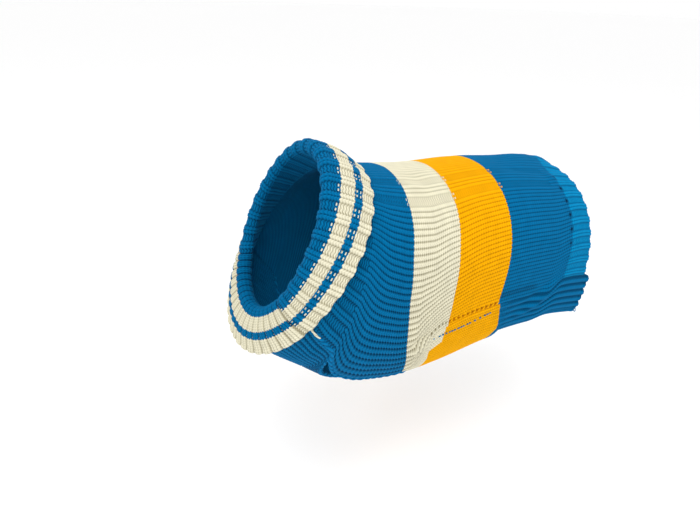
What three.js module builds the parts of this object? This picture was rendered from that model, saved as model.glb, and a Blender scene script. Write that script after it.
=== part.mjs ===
// A knitted dog sweater, worn: a back panel and a belly panel sewn together low on the flanks,
// a ribbed collar in two halves that is folded down over itself, and a ribbed hem across the rump.
// Sizes are millimetres. +X is the wearer's left, -Y is forward (the neck end), +Z is up.
// The origin is on the inner face of the back panel, on the ridge of the back, at mid length.

import * as THREE from 'three';

// Driving sizes of the cloth.
const WALL = 2.5;
const SEAM_GAP = 0.3;
const MOUNT_STATION = 0.575;

// Ribs: the back half of the sweater has wide ribs, the front half has fine ones.
const WIDE_RIBS = 21;
const WIDE_RIB_HEIGHT = 1.3;
const WIDE_RIDGE_SHARE = 0.42;
const WIDE_SLOPE_SHARE = 0.08;
const FINE_RIBS = 34;
const FINE_RIB_HEIGHT = 1.0;
const SKIRT_RIBS = 5;
const SKIRT_RIB_HEIGHT = 1.6;

// Where things lie along the body: 0 is the neck seam and 1 is the rear edge.
const HEM_START = 0.872;
const BACK_END = 0.975;
const LEG_HOLE_FRONT = 0.104;
const LEG_HOLE_REAR = 0.344;
const YOKE_END = 0.09;
const CHEST_RIB_END = 0.25;
const NOTCH_BEND_START = 0.6;
const NOTCH_FRONT = 0.69;
const SKIRT_RIB_FULL = 0.81;

// The belly panel is cut away between the hind legs, and two narrow skirts are left beside the cut.
// Both edges of the cut are shares of the panel's half width, from its centre line.
const NOTCH_CENTRE_SHARE = 0.6;
const SKIRT_SHARE = 0.69;

// Cross sections of the body, each a flat ring round the wearer. y and z place its middle, tilt is
// how far its top leans back in degrees, up and down are its half heights and half is its half width.
// A round of 2 is an ellipse, and more is squarer.
const SECTION_COLUMNS = ['y', 'z', 'tilt', 'up', 'down', 'half', 'topRound', 'bottomRound'];
const BODY_SECTIONS = [
  [0.00, [-162, -70, 30, 93, 85, 82, 2.0, 2.0]],
  [0.10, [-136, -74, 20, 87, 103, 86, 2.2, 2.1]],
  [0.22, [-104, -78, 9, 85, 129, 86, 2.3, 2.4]],
  [0.32, [-78, -82, 3, 86, 130, 85, 2.3, 2.5]],
  [0.48, [-30, -84, 1, 86, 124, 84, 2.2, 2.6]],
  [0.66, [32, -86, 2, 88, 112, 84, 2.2, 2.6]],
  [0.88, [112, -97, 6, 87, 98, 82, 2.2, 2.8]],
  [1.00, [152, -108, 2, 91, 96, 79, 2.2, 3.0]],
];

// The knitted rows bow: seen from the side they lie further back on the ridge and under the belly.
const BOW_ACROSS = [
  [0.00, [9]], [0.14, [4.5]], [0.25, [0]], [0.35, [-3.6]], [0.45, [-3.2]],
  [0.52, [-1.5]], [0.62, [3]], [0.78, [12]], [1.00, [16]],
];
const BOW_ALONG = [
  [0.00, [0]], [0.10, [0]], [0.22, [0.5]], [0.32, [1]], [0.48, [0.7]],
  [0.66, [0.2]], [0.88, [0]], [1.00, [0]],
];

// Where the two panels end, as a share of the way from the ridge (0) to the middle of the belly (1).
// They meet at the flank seams and part round the leg holes.
const EDGE_COLUMNS = ['back', 'belly'];
const PANEL_EDGES = [
  [0.000, [0.610, 0.610]],
  [0.050, [0.645, 0.645]],
  [LEG_HOLE_FRONT, [0.680, 0.680]],
  [0.125, [0.735, 0.790]],
  [0.164, [0.795, 0.890]],
  [0.224, [0.790, 0.920]],
  [0.280, [0.800, 0.910]],
  [0.320, [0.795, 0.860]],
  [LEG_HOLE_REAR, [0.780, 0.780]],
  [0.360, [0.715, 0.715]],
  [0.380, [0.655, 0.655]],
  [0.410, [0.608, 0.608]],
  [0.460, [0.582, 0.582]],
  [0.550, [0.566, 0.566]],
  [0.720, [0.566, 0.566]],
  [0.810, [0.560, 0.560]],
  [HEM_START, [0.515, 0.515]],
  [1.000, [0.502, 0.502]],
];

// Soft folds of the cloth: each is a ridge from one place to another on the body, with its half
// width across and its height. A negative height is a trough. The side is 1 for left, -1 for right.
const FOLD_COLUMNS = ['side', 'u0', 's0', 'u1', 's1', 'width', 'height'];
const FOLDS = [
  [1, 0.60, 0.44, 0.78, 0.36, 7, 2.2],
  [1, 0.50, 0.87, 0.66, 0.72, 6, 2.6],
  [1, 0.62, 0.72, 0.76, 0.52, 8, 1.6],
  [1, 0.05, 0.33, 0.13, 0.46, 8, -1.6],
  [1, 0.10, 0.84, 0.16, 0.88, 6, 1.8],
  [-1, 0.60, 0.47, 0.76, 0.37, 8, 2.0],
  [-1, 0.51, 0.86, 0.67, 0.70, 7, 2.3],
  [-1, 0.08, 0.36, 0.15, 0.50, 9, -1.5],
  [-1, 0.64, 0.68, 0.78, 0.50, 8, 1.4],
];

// The folded collar: the fold is its top ring, and the edge is the lower ring of the turned-down flap.
const FOLD_RING = [-169.3, -37.1, 20.9, 70, 78, 60, 2.0, 2.0];
const FLAP_RING = [-158.2, -64, 37, 95, 99, 93, 2.1, 2.0];
const COLLAR_FOLD_RADIUS = 4.5;
const COLLAR_JOIN_AT_FOLD = 0.72;
const COLLAR_JOIN_AT_EDGE = 0.63;
const STAND_END = 0.4;
const FOLD_END = 0.52;
const FLAP_BULGE = 3;

// Places along the body where both panels and the hem have a row, so that their seams match.
const SEAM_PLACES = [
  0.03, 0.06, YOKE_END, LEG_HOLE_FRONT, 0.125, 0.145, 0.164, 0.194, 0.224, CHEST_RIB_END,
  0.28, 0.3, 0.32, LEG_HOLE_REAR, 0.36, 0.38, 0.41, 0.46, 0.52, NOTCH_BEND_START,
  0.68, 0.75, SKIRT_RIB_FULL, HEM_START, 0.924, BACK_END, 1,
];

// Facet counts.
const SECTION_SAMPLES = 240;
const PANEL_COLUMNS = 26;
const COLLAR_COLUMNS = 30;
const STAND_ROWS = 2;
const FOLD_ROWS = 5;
const FLAP_ROWS = 4;
const NOTCH_CENTRE_COLUMNS = 5;
const NOTCH_EDGE_COLUMNS = 6;

// The small step over which directions and slopes are measured.
const PROBE = 0.004;

const COLOURS = { blue: 0x0070aa, hemBlue: 0x0091cd, cream: 0xece7c8 };

function namedRows(columns, rows) {
  return rows.map((row) => Object.fromEntries(columns.map((name, i) => [name, row[i]])));
}

// Smooth table lookup that never overshoots between two rows.
function makeTable(columns, rows) {
  const at = rows.map((row) => row[0]);
  const values = rows.map((row) => row[1]);
  const last = at.length - 1;
  const slope = (i, k) => (values[i + 1][k] - values[i][k]) / (at[i + 1] - at[i]);
  const tangents = values.map((row, i) => row.map((_, k) => {
    if (i === 0) return slope(0, k);
    if (i === last) return slope(last - 1, k);
    const before = slope(i - 1, k);
    const after = slope(i, k);
    return before * after <= 0 ? 0 : (2 * before * after) / (before + after);
  }));
  return (x) => {
    const place = THREE.MathUtils.clamp(x, at[0], at[last]);
    let i = 0;
    while (i < last - 1 && place > at[i + 1]) i += 1;
    const span = at[i + 1] - at[i];
    const t = (place - at[i]) / span;
    const t2 = t * t;
    const t3 = t2 * t;
    const result = columns.map((_, k) => (2 * t3 - 3 * t2 + 1) * values[i][k]
      + (t3 - 2 * t2 + t) * span * tangents[i][k]
      + (3 * t2 - 2 * t3) * values[i + 1][k]
      + (t3 - t2) * span * tangents[i + 1][k]);
    return Object.fromEntries(columns.map((name, k) => [name, result[k]]));
  };
}

const sectionAt = makeTable(SECTION_COLUMNS, BODY_SECTIONS);
const edgesAt = makeTable(EDGE_COLUMNS, PANEL_EDGES);
const bowAcross = makeTable(['bow'], BOW_ACROSS);
const bowAlong = makeTable(['share'], BOW_ALONG);
const folds = namedRows(FOLD_COLUMNS, FOLDS);

// Half of a ring from its top to its bottom, with the length along it at each sample.
function halfRing(section) {
  const lean = THREE.MathUtils.degToRad(section.tilt);
  const points = [];
  const lengths = [];
  for (let i = 0; i <= SECTION_SAMPLES; i += 1) {
    const angle = (Math.PI * i) / SECTION_SAMPLES;
    const c = Math.cos(angle);
    const power = 2 / (c > 0 ? section.topRound : section.bottomRound);
    const height = (c > 0 ? section.up : section.down) * Math.sign(c) * Math.abs(c) ** power;
    const width = section.half * Math.abs(Math.sin(angle)) ** power;
    points.push(new THREE.Vector3(
      width,
      section.y + height * Math.sin(lean),
      section.z + height * Math.cos(lean),
    ));
    lengths.push(i === 0 ? 0 : lengths[i - 1] + points[i].distanceTo(points[i - 1]));
  }
  return { points, lengths };
}

// The point of a ring at u: 0 is its top, 1 its bottom on the left, -1 the same on the right.
function ringPoint(ring, u) {
  const wrapped = u - 2 * Math.round(u / 2);
  const total = ring.lengths[SECTION_SAMPLES];
  const target = Math.abs(wrapped) * total;
  let low = 0;
  let high = SECTION_SAMPLES;
  while (high - low > 1) {
    const middle = (low + high) >> 1;
    if (ring.lengths[middle] <= target) low = middle;
    else high = middle;
  }
  const span = ring.lengths[high] - ring.lengths[low];
  const point = ring.points[low].clone().lerp(ring.points[high], (target - ring.lengths[low]) / span);
  point.x *= Math.sign(wrapped) || 1;
  return point;
}

const ringCache = new Map();
function bodyRing(s) {
  const key = s.toFixed(6);
  if (!ringCache.has(key)) ringCache.set(key, halfRing(sectionAt(s)));
  return ringCache.get(key);
}

function bodyPoint(u, s) {
  const point = ringPoint(bodyRing(s), u);
  point.y += bowAcross(Math.abs(u)).bow * bowAlong(s).share;
  return point;
}

// How far the cloth stands out or in at a place, from all the soft folds near it.
function foldHeight(u, s) {
  const here = bodyPoint(u, s);
  let height = 0;
  for (const fold of folds) {
    if (fold.side * u <= 0) continue;
    const start = bodyPoint(fold.side * fold.u0, fold.s0);
    const end = bodyPoint(fold.side * fold.u1, fold.s1);
    const run = end.clone().sub(start);
    const along = here.clone().sub(start).dot(run) / run.lengthSq();
    if (along <= 0 || along >= 1) continue;
    const beside = here.distanceTo(start.clone().addScaledVector(run, along)) / fold.width;
    height += fold.height * Math.sin(Math.PI * along) ** 2 * Math.exp(-beside * beside);
  }
  return height;
}

// The outward direction of any surface given by two numbers.
function normalOf(surface, a, b) {
  const across = surface(a + PROBE, b).sub(surface(a - PROBE, b));
  const along = surface(a, Math.min(b + PROBE, 1)).sub(surface(a, Math.max(b - PROBE, 0)));
  return across.cross(along).normalize();
}

// The share of a wide rib's full height at a place across. The ribs stand between -1 and 1.
function wideRib(t) {
  const phase = (t * WIDE_RIBS) / 2 + 0.5;
  const fromMiddle = Math.abs(phase - Math.floor(phase) - 0.5);
  const half = WIDE_RIDGE_SHARE / 2;
  return 1 - THREE.MathUtils.clamp((fromMiddle - half) / WIDE_SLOPE_SHARE, 0, 1);
}

// Columns that catch every corner of the wide ribs.
function wideRibColumns() {
  const half = WIDE_RIDGE_SHARE / 2;
  const offsets = [-half - WIDE_SLOPE_SHARE, -half, half, half + WIDE_SLOPE_SHARE];
  const columns = [-1];
  for (let k = -(WIDE_RIBS - 1) / 2; k <= (WIDE_RIBS - 1) / 2; k += 1) {
    for (const offset of offsets) columns.push(((k + offset) * 2) / WIDE_RIBS);
  }
  columns.push(1);
  return columns;
}

// Columns for ribs that are plain ridges: one on each crest and one in each valley.
function ridgeColumns(from, to, count) {
  const columns = [];
  for (let k = 0; k <= 2 * count; k += 1) columns.push(from + ((to - from) * k) / (2 * count));
  return columns;
}

function ridge(t, from, to, count) {
  const phase = ((t - from) / (to - from)) * count;
  return 1 - 2 * Math.abs(phase - Math.floor(phase) - 0.5);
}

function evenColumns(count) {
  return Array.from({ length: count + 1 }, (_, i) => -1 + (2 * i) / count);
}

function evenSteps(from, to, count) {
  return Array.from({ length: count + 1 }, (_, i) => from + ((to - from) * i) / count);
}

// Joins two lines of points, both sorted by their key, with triangles.
function zip(builder, lineA, lineB, flip) {
  let i = 0;
  let j = 0;
  while (i < lineA.length - 1 || j < lineB.length - 1) {
    const stepA = j === lineB.length - 1
      || (i < lineA.length - 1 && lineA[i + 1].key <= lineB[j + 1].key);
    const corners = stepA
      ? [lineA[i].index, lineA[i + 1].index, lineB[j].index]
      : [lineA[i].index, lineB[j + 1].index, lineB[j].index];
    if (flip) corners.reverse();
    builder.indices.push(...corners);
    if (stepA) i += 1;
    else j += 1;
  }
}

// A sheet of cloth as a closed solid. Each row has its place along and its columns for both faces.
// outer and inner give a point from the place across and the place along. reversed is true where the
// places across run the other way round the body.
function clothSolid(rows, outer, inner, reversed) {
  const builder = { positions: [], indices: [] };
  const addPoint = (point, key) => {
    const index = builder.positions.length / 3;
    builder.positions.push(point.x, point.y, point.z);
    return { index, key };
  };
  const outerRows = rows.map((row) => row.outer.map((t) => addPoint(outer(t, row.v), t)));
  const innerRows = rows.map((row) => row.inner.map((t) => addPoint(inner(t, row.v), t)));
  for (let r = 0; r < rows.length - 1; r += 1) {
    zip(builder, outerRows[r], outerRows[r + 1], !reversed);
    zip(builder, innerRows[r], innerRows[r + 1], reversed);
  }
  const last = rows.length - 1;
  zip(builder, outerRows[0], innerRows[0], reversed);
  zip(builder, outerRows[last], innerRows[last], !reversed);
  const side = (list, pick) => list.map((row, r) => ({ index: pick(row).index, key: rows[r].v }));
  const first = (row) => row[0];
  const end = (row) => row[row.length - 1];
  zip(builder, side(outerRows, first), side(innerRows, first), !reversed);
  zip(builder, side(outerRows, end), side(innerRows, end), reversed);
  const geometry = new THREE.BufferGeometry();
  geometry.setAttribute('position', new THREE.Float32BufferAttribute(builder.positions, 3));
  geometry.setIndex(builder.indices);
  geometry.computeVertexNormals();
  return geometry;
}

// The share of the half girth that half a seam gap takes, measured square to a sloping seam.
function gapShare(s, column) {
  const girth = bodyRing(s).lengths[SECTION_SAMPLES];
  const low = Math.max(s - PROBE, 0);
  const high = Math.min(s + PROBE, 1);
  const u = edgesAt(s)[column];
  const run = bodyPoint(u, high).distanceTo(bodyPoint(u, low));
  const rise = (edgesAt(high)[column] - edgesAt(low)[column]) * girth;
  return ((SEAM_GAP / 2) * Math.hypot(1, rise / run)) / girth;
}

function backEdge(s) {
  return edgesAt(s).back - gapShare(s, 'back');
}

function bellyEdge(s) {
  return edgesAt(s).belly + gapShare(s, 'belly');
}

// Finds the place along where the cloth starts or ends half a seam gap short of a cut.
function shortOf(s, direction) {
  const run = bodyPoint(0, s + direction * PROBE).distanceTo(bodyPoint(0, s));
  return s + (direction * PROBE * SEAM_GAP) / 2 / run;
}

// At the neck seam the panels and the collar end in flat faces, half a gap to each side of the ring's
// plane. side is 1 for the collar and -1 for a panel, and height is outward from the ring.
const neckRing = halfRing(sectionAt(0));
const neckLean = THREE.MathUtils.degToRad(sectionAt(0).tilt);
const neckAxis = new THREE.Vector3(0, -Math.cos(neckLean), Math.sin(neckLean));
function neckFace(u, side, height) {
  const along = ringPoint(neckRing, u + PROBE).sub(ringPoint(neckRing, u - PROBE));
  const out = neckAxis.clone().cross(along).normalize();
  return ringPoint(neckRing, u)
    .addScaledVector(neckAxis, (side * SEAM_GAP) / 2)
    .addScaledVector(out, height);
}

// A face of a panel: the body's form, its soft folds, and a height above the middle of the wall.
function bodyFace(u, s, height) {
  if (s === 0) return neckFace(u, -1, height);
  const normal = normalOf(bodyPoint, u, s);
  return bodyPoint(u, s).addScaledVector(normal, height + foldHeight(u, s));
}

function backPanel() {
  const end = shortOf(HEM_START, -1);
  const plain = evenColumns(PANEL_COLUMNS);
  const ribbed = wideRibColumns();
  const places = [0, ...SEAM_PLACES.filter((s) => s < HEM_START), end];
  const rows = places.map((v) => ({ v, outer: v <= YOKE_END ? ribbed : plain, inner: plain }));
  const outer = (t, s) => {
    const rib = s <= YOKE_END ? WIDE_RIB_HEIGHT * wideRib(t) : WIDE_RIB_HEIGHT / 2;
    return bodyFace(t * backEdge(s), s, WALL / 2 + rib);
  };
  const inner = (t, s) => bodyFace(t * backEdge(s), s, -WALL / 2);
  return clothSolid(rows, outer, inner, true);
}

function hemBack() {
  const ribbed = wideRibColumns();
  const plain = evenColumns(PANEL_COLUMNS);
  const seam = SEAM_PLACES.filter((s) => s > HEM_START && s <= BACK_END);
  const places = [shortOf(HEM_START, 1), ...seam];
  const rows = places.map((v) => ({ v, outer: ribbed, inner: plain }));
  const outer = (t, s) => bodyFace(t * backEdge(s), s, WALL / 2 + WIDE_RIB_HEIGHT * wideRib(t));
  const inner = (t, s) => bodyFace(t * backEdge(s), s, -WALL / 2);
  return clothSolid(rows, outer, inner, true);
}

// The belly panel's place along, bent so that its last rows follow the cut between the hind legs.
function bellyStation(t, v) {
  if (v <= NOTCH_BEND_START) return v;
  const share = THREE.MathUtils.smoothstep(Math.abs(t), NOTCH_CENTRE_SHARE, SKIRT_SHARE);
  const end = NOTCH_FRONT + (1 - NOTCH_FRONT) * share;
  const progress = (v - NOTCH_BEND_START) / (1 - NOTCH_BEND_START);
  return THREE.MathUtils.lerp(NOTCH_BEND_START, end, progress);
}

// t runs from the right flank (-1) over the middle of the belly (0) to the left flank (1).
function bellyShare(t, s) {
  const side = t < 0 ? -1 : 1;
  const fromCentre = Math.abs(t) * (1 - bellyEdge(s));
  return side * (1 - fromCentre);
}

function bellyPanel() {
  const chest = ridgeColumns(-1, 1, FINE_RIBS);
  const plain = evenColumns(PANEL_COLUMNS);
  const cut = evenSteps(NOTCH_CENTRE_SHARE, SKIRT_SHARE, NOTCH_EDGE_COLUMNS).slice(1);
  const centre = evenSteps(0, NOTCH_CENTRE_SHARE, NOTCH_CENTRE_COLUMNS);
  const skirt = ridgeColumns(SKIRT_SHARE, 1, SKIRT_RIBS).slice(1);
  const halfRow = [...centre, ...cut, ...skirt];
  const rear = [...halfRow.slice(1).reverse().map((t) => -t), ...halfRow];
  const rearPlain = rear.filter((t) => Math.abs(t) <= SKIRT_SHARE || skirt.indexOf(Math.abs(t)) % 2);
  const columnsAt = (v) => {
    if (v <= CHEST_RIB_END) return { outer: chest, inner: plain };
    if (v <= NOTCH_BEND_START) return { outer: plain, inner: plain };
    return { outer: rear, inner: rearPlain };
  };
  const rows = [0, ...SEAM_PLACES].map((v) => ({ v, ...columnsAt(v) }));
  const relief = (t, v) => {
    if (v <= CHEST_RIB_END) return FINE_RIB_HEIGHT * ridge(t, -1, 1, FINE_RIBS);
    const onSkirt = v > NOTCH_BEND_START && Math.abs(t) > SKIRT_SHARE;
    if (!onSkirt) return FINE_RIB_HEIGHT / 2;
    const grow = THREE.MathUtils.smoothstep(v, NOTCH_BEND_START, SKIRT_RIB_FULL);
    return FINE_RIB_HEIGHT / 2 + grow * SKIRT_RIB_HEIGHT * ridge(Math.abs(t), SKIRT_SHARE, 1, SKIRT_RIBS);
  };
  const face = (t, v, height) => {
    const s = bellyStation(t, v);
    return bodyFace(bellyShare(t, s), s, height);
  };
  const outer = (t, v) => face(t, v, WALL / 2 + relief(t, v));
  const inner = (t, v) => face(t, v, -WALL / 2);
  return clothSolid(rows, outer, inner, false);
}

// The collar's middle surface. v goes from the neck seam (0) up the stand, over the fold and down the
// flap to its edge (1).
const [foldRing, flapRing] = namedRows(SECTION_COLUMNS, [FOLD_RING, FLAP_RING]).map(halfRing);
const JOIN_AT_NECK = PANEL_EDGES[0][1][0];

// The share of the way round at each ring, for a place t across a half of the collar.
function collarShares(t, isBack) {
  const joins = [JOIN_AT_NECK, COLLAR_JOIN_AT_FOLD, COLLAR_JOIN_AT_EDGE];
  return joins.map((join) => {
    if (isBack) return t * join;
    return (t < 0 ? -1 : 1) * (1 - Math.abs(t) * (1 - join));
  });
}

function collarPoint(t, v, isBack) {
  const [atNeck, atFold, atEdge] = collarShares(t, isBack);
  const neck = ringPoint(neckRing, atNeck);
  const top = ringPoint(foldRing, atFold);
  const edge = ringPoint(flapRing, atEdge);
  const up = top.clone().sub(neck);
  const height = up.length();
  up.normalize();
  const toEdge = edge.clone().sub(neck);
  const edgeUp = toEdge.dot(up);
  const out = toEdge.clone().addScaledVector(up, -edgeUp);
  const edgeOut = out.length();
  out.normalize();
  const place = (a, b) => neck.clone().addScaledVector(up, a).addScaledVector(out, b);
  const straight = height - COLLAR_FOLD_RADIUS;
  if (v <= STAND_END) {
    const share = v / STAND_END;
    return place(SEAM_GAP / 2 + (straight - SEAM_GAP / 2) * share, 0);
  }
  if (v <= FOLD_END) {
    const angle = (Math.PI * (v - STAND_END)) / (FOLD_END - STAND_END);
    return place(
      straight + COLLAR_FOLD_RADIUS * Math.sin(angle),
      COLLAR_FOLD_RADIUS * (1 - Math.cos(angle)),
    );
  }
  const share = (v - FOLD_END) / (1 - FOLD_END);
  const wide = 2 * COLLAR_FOLD_RADIUS;
  const a = THREE.MathUtils.lerp(straight, edgeUp, share);
  const b = THREE.MathUtils.lerp(wide, edgeOut, share) + FLAP_BULGE * Math.sin(Math.PI * share);
  return place(a, b);
}

function collarHalf(isBack) {
  const middle = (t, v) => collarPoint(t, v, isBack);
  const inset = 1 - SEAM_GAP / neckRing.lengths[SECTION_SAMPLES];
  const ribbed = isBack ? wideRibColumns() : ridgeColumns(-1, 1, FINE_RIBS);
  const plain = evenColumns(COLLAR_COLUMNS);
  const places = [
    ...evenSteps(0, STAND_END, STAND_ROWS),
    ...evenSteps(STAND_END, FOLD_END, FOLD_ROWS).slice(1),
    ...evenSteps(FOLD_END, 1, FLAP_ROWS).slice(1),
  ];
  const rows = places.map((v) => ({ v, outer: v >= STAND_END ? ribbed : plain, inner: plain }));
  const relief = (t, v) => {
    if (v < STAND_END) return 0;
    return isBack ? WIDE_RIB_HEIGHT * wideRib(t) : FINE_RIB_HEIGHT * ridge(t, -1, 1, FINE_RIBS);
  };
  const face = (t, v, height) => {
    const place = t * inset;
    if (v === 0) return neckFace(collarShares(place, isBack)[0], 1, -height);
    const normal = normalOf(middle, place, v);
    if (!isBack) normal.negate();
    return middle(place, v).addScaledVector(normal, height);
  };
  const publicFace = (t, v) => face(t, v, WALL / 2 + relief(t, v));
  const privateFace = (t, v) => face(t, v, -WALL / 2);
  return clothSolid(rows, publicFace, privateFace, isBack);
}

function clothMaterial(colour) {
  return new THREE.MeshStandardMaterial({ color: colour, roughness: 0.92, metalness: 0 });
}

// The origin: the inner face of the back panel on its ridge.
function originShift() {
  return bodyFace(0, MOUNT_STATION, -WALL / 2).negate();
}

const PIECES = [
  { name: 'back_panel', build: backPanel, colour: COLOURS.blue },
  { name: 'belly_panel', build: bellyPanel, colour: COLOURS.blue },
  { name: 'hem_back', build: hemBack, colour: COLOURS.hemBlue },
  { name: 'collar_back', build: () => collarHalf(true), colour: COLOURS.cream },
  { name: 'collar_front', build: () => collarHalf(false), colour: COLOURS.cream },
];

const sweater = new THREE.Group();
const shift = originShift();
for (const piece of PIECES) {
  const mesh = new THREE.Mesh(piece.build(), clothMaterial(piece.colour));
  mesh.name = piece.name;
  mesh.position.copy(shift);
  sweater.add(mesh);
}

export default sweater;
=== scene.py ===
"""A knitted dog sweater in its worn form: two knitted panels, a rear hem and a folded collar.

The cloth is made stitch by stitch, as rows and wales of knitting that lie on the forms of the solids.
Lengths are worked out in millimetres and turned into metres when a mesh is made.
"""

import bpy
import numpy as np
from mathutils import Matrix, Vector


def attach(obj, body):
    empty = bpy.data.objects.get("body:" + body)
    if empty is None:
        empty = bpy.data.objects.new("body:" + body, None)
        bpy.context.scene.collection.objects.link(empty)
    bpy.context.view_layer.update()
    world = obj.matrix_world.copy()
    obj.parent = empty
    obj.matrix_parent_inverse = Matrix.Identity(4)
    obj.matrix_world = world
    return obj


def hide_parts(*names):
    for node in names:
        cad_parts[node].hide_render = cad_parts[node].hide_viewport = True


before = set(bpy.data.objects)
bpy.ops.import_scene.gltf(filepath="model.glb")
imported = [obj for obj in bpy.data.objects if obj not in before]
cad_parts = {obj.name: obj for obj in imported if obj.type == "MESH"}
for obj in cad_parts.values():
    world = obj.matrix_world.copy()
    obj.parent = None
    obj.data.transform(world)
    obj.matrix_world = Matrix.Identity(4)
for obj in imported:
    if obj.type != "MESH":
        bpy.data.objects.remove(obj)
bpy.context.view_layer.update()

# The thickness of the cloth in millimetres, and the place of the mount along the back, as in the
# solids. At the seams the knitting lies closer together than they do.
WALL = 2.5
MOUNT_STATION = 0.575
SEAM_GAP = 0.05

# Places along the body: 0 is the neck seam and 1 is the rear edge.
HEM_START = 0.872
BACK_END = 0.975
LEG_HOLE_FRONT = 0.104
LEG_HOLE_REAR = 0.344
NOTCH_FRONT = 0.69

# Cross sections: place along, then y, z, tilt, up, down, half, top round, bottom round.
BODY_SECTIONS = [
    (0.00, -162, -70, 30, 93, 85, 82, 2.0, 2.0),
    (0.10, -136, -74, 20, 87, 103, 86, 2.2, 2.1),
    (0.22, -104, -78, 9, 85, 129, 86, 2.3, 2.4),
    (0.32, -78, -82, 3, 86, 130, 85, 2.3, 2.5),
    (0.48, -30, -84, 1, 86, 124, 84, 2.2, 2.6),
    (0.66, 32, -86, 2, 88, 112, 84, 2.2, 2.6),
    (0.88, 112, -97, 6, 87, 98, 82, 2.2, 2.8),
    (1.00, 152, -108, 2, 91, 96, 79, 2.2, 3.0),
]
# How far the knitted rows bow back: place round the body, bow; and place along, share of it.
BOW_ACROSS = [
    (0.00, 9), (0.14, 4.5), (0.25, 0), (0.35, -3.6), (0.45, -3.2),
    (0.52, -1.5), (0.62, 3), (0.78, 12), (1.00, 16),
]
BOW_ALONG = [
    (0.00, 0), (0.10, 0), (0.22, 0.5), (0.32, 1), (0.48, 0.7), (0.66, 0.2), (0.88, 0), (1.00, 0),
]
# Edges of the two panels round the body: place along, back panel, belly panel.
PANEL_EDGES = [
    (0.000, 0.610, 0.610), (0.050, 0.645, 0.645), (LEG_HOLE_FRONT, 0.680, 0.680),
    (0.125, 0.735, 0.790), (0.164, 0.795, 0.890), (0.224, 0.790, 0.920),
    (0.280, 0.800, 0.910), (0.320, 0.795, 0.860), (LEG_HOLE_REAR, 0.780, 0.780),
    (0.360, 0.715, 0.715), (0.380, 0.655, 0.655), (0.410, 0.608, 0.608),
    (0.460, 0.582, 0.582), (0.550, 0.566, 0.566), (0.720, 0.566, 0.566),
    (0.810, 0.560, 0.560), (HEM_START, 0.515, 0.515), (1.000, 0.502, 0.502),
]
# Soft folds: side, start round, start along, end round, end along, half width, height.
FOLDS = [
    (1, 0.60, 0.44, 0.78, 0.36, 7, 2.2),
    (1, 0.50, 0.87, 0.66, 0.72, 6, 2.6),
    (1, 0.62, 0.72, 0.76, 0.52, 8, 1.6),
    (1, 0.05, 0.33, 0.13, 0.46, 8, -1.6),
    (1, 0.10, 0.84, 0.16, 0.88, 6, 1.8),
    (-1, 0.60, 0.47, 0.76, 0.37, 8, 2.0),
    (-1, 0.51, 0.86, 0.67, 0.70, 7, 2.3),
    (-1, 0.08, 0.36, 0.15, 0.50, 9, -1.5),
    (-1, 0.64, 0.68, 0.78, 0.50, 8, 1.4),
]
# Finer folds that the knitting adds to those of the solids, and how it rises over the rump. Side 0
# stands for both sides.
FINE_FOLDS = [
    (0, 0.000, 0.690, 0.000, 1.000, 17, 7.2),
    (0, 0.000, 0.830, 0.000, 1.000, 13, 3.2),
    (0, -0.130, 0.830, 0.070, 0.850, 3.2, 1.3),
    (0, -0.130, 0.900, 0.090, 0.915, 3.0, 1.4),
    (1, 0.590, 0.415, 0.695, 0.315, 3.5, 3.6),
    (1, 0.565, 0.400, 0.665, 0.315, 4.0, -3.2),
    (1, 0.640, 0.440, 0.750, 0.345, 4.5, -1.6),
    (1, 0.500, 0.895, 0.690, 0.660, 2.6, 2.6),
    (1, 0.520, 0.910, 0.710, 0.690, 3.0, -1.8),
    (1, 0.470, 0.870, 0.640, 0.670, 4.0, -1.4),
    (1, 0.180, 0.100, 0.280, 0.240, 5.0, 0.9),
    (1, 0.300, 0.700, 0.400, 0.860, 6.0, 0.9),
    (1, 0.060, 0.640, 0.120, 0.860, 5.0, -0.9),
    (1, 0.100, 0.260, 0.140, 0.420, 5.0, 1.0),
    (1, 0.380, 0.520, 0.450, 0.640, 6.0, 0.8),
    (1, 0.680, 0.030, 0.780, 0.100, 5.0, 1.2),
    (-1, 0.590, 0.430, 0.700, 0.330, 3.5, 2.6),
    (-1, 0.570, 0.410, 0.660, 0.330, 4.0, -1.9),
    (-1, 0.500, 0.880, 0.680, 0.670, 2.8, 2.3),
    (-1, 0.520, 0.890, 0.700, 0.700, 3.2, -1.6),
    (-1, 0.220, 0.120, 0.300, 0.280, 5.0, 1.0),
    (-1, 0.280, 0.660, 0.400, 0.840, 6.0, 1.0),
    (-1, 0.080, 0.560, 0.130, 0.800, 5.0, -0.9),
    (-1, 0.400, 0.480, 0.480, 0.600, 6.0, 0.9),
    (-1, 0.690, 0.020, 0.770, 0.090, 5.0, 1.0),
]
# The folded collar, as in the solids.
FOLD_RING = (-169.3, -37.1, 20.9, 70, 78, 60, 2.0, 2.0)
FLAP_RING = (-158.2, -64, 37, 95, 99, 93, 2.1, 2.0)
COLLAR_FOLD_RADIUS = 4.5
COLLAR_JOINS = (0.61, 0.72, 0.63)
STAND_END = 0.4
FOLD_END = 0.52
FLAP_BULGE = 3

# Yarns, in the order of the material slots. The hem's blue is the panels' blue painted lighter, as
# painted light where the light falls on the rear hem.
BLUE, LIT_HEM_BLUE, CREAM, YELLOW = range(4)
SLOTS = ("knit_blue", "knit_hem", "knit_cream", "knit_yellow")
# How pale each yarn is, beside the others.
PALENESS = np.array([0, 0, 2, 1])

# Knitting. Mesh steps to a stitch on the public face and on the inner one, the size of a stitch before
# the knitting is stretched, in millimetres, and how far a knit stitch pulls the rows into a V, in rows.
STEPS = 4
INNER_STEPS = 2
WALE_WIDTH = 3.9
FINE_RIB_WALE_WIDTH = 3.1
ROW_HEIGHT = 2.45
V_PULL = 0.62
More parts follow.
